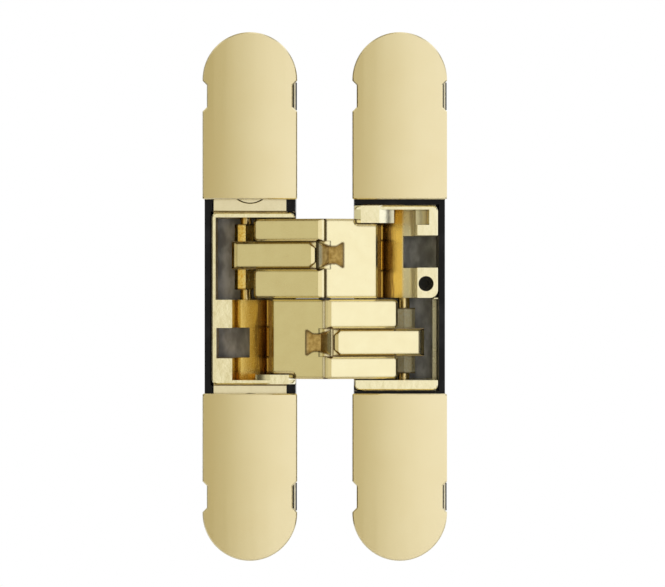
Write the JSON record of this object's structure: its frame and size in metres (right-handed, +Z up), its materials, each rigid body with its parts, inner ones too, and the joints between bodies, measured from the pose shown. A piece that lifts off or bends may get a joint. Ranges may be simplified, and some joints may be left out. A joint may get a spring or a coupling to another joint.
{
  "type": "concealed door hinge",
  "caption": "Concealed mortise door hinge with crossed forked arms and finger links between two round-ended leaves with push-on covers.",
  "frame": {"origin": "centre of the hinge's box when open: midway between the two leaves, at mid height and at mid depth, 12.3 mm behind the cover fronts", "axes": "+X from the left leaf to the right leaf, +Y into the door edge and frame, +Z up along the leaves"},
  "size_m": [0.062, 0.0334, 0.134],
  "materials": {
    "black_housing": "satin",
    "cast_brass": "polished casting",
    "satin_brass": "satin",
    "screw_brass": "plated",
    "steel": "bright",
    "black_steel": "blackened",
    "washer": "matte"
  },
  "bodies": {
    "left_leaf": {"left_housing": "black_housing", "left_carrier": "cast_brass", "left_arm_pin": "steel", "left_link_pin": "steel", "left_upper_cover": "satin_brass", "left_upper_clamp": "cast_brass", "left_upper_screw": "screw_brass", "left_upper_clip": "steel", "left_lower_cover": "satin_brass", "left_lower_clamp": "cast_brass", "left_lower_screw": "screw_brass", "left_lower_clip": "steel"},
    "lower_arm": {"lower_arm": "cast_brass", "lower_link_pin": "steel", "centre_pin": "steel", "centre_washer": "washer"},
    "upper_arm": {"upper_arm": "cast_brass", "upper_link_pin": "steel"},
    "right_leaf": {"right_housing": "black_housing", "right_carrier": "cast_brass", "right_arm_pin": "steel", "right_link_pin": "steel", "right_upper_cover": "satin_brass", "right_upper_clamp": "cast_brass", "right_upper_screw": "screw_brass", "right_upper_clip": "steel", "right_lower_cover": "satin_brass", "right_lower_clamp": "cast_brass", "right_lower_screw": "screw_brass", "right_lower_clip": "steel", "right_adjuster": "black_steel"},
    "upper_link": {"upper_link": "cast_brass"},
    "lower_link": {"lower_link": "cast_brass"}
  },
  "joints": [
    {"name": "fold", "type": "hinge", "parent": "left_leaf", "child": "lower_arm", "pos_m": [-0.0115, -0.0023, -0.0006], "axis": [0, 0, -1], "range_deg": [0, 79.52]},
    {"name": "arm_cross", "type": "hinge", "parent": "lower_arm", "child": "upper_arm", "pos_m": [0, -0.0138, -0.0006], "axis": [0, 0, -1], "range_deg": [0, 20.96]},
    {"name": "right_leaf_turn", "type": "hinge", "parent": "upper_arm", "child": "right_leaf", "pos_m": [0.0115, -0.0023, -0.0006], "axis": [0, 0, -1], "range_deg": [0, 79.52]},
    {"name": "upper_link_swing", "type": "hinge", "parent": "left_leaf", "child": "upper_link", "pos_m": [-0.0203, 0.0019, -0.0006], "axis": [0, 0, -1], "range_deg": [0, 23.68]},
    {"name": "lower_link_swing", "type": "hinge", "parent": "right_leaf", "child": "lower_link", "pos_m": [0.0203, 0.0019, -0.0006], "axis": [0, 0, 1], "range_deg": [0, 23.68]}
  ],
  "couplings": [
    {"joint": "arm_cross", "follows": "fold", "ratio": 0.2636},
    {"joint": "right_leaf_turn", "follows": "fold", "ratio": 1},
    {"joint": "upper_link_swing", "follows": "fold", "ratio": 0.29779},
    {"joint": "lower_link_swing", "follows": "fold", "ratio": 0.29779}
  ]
}
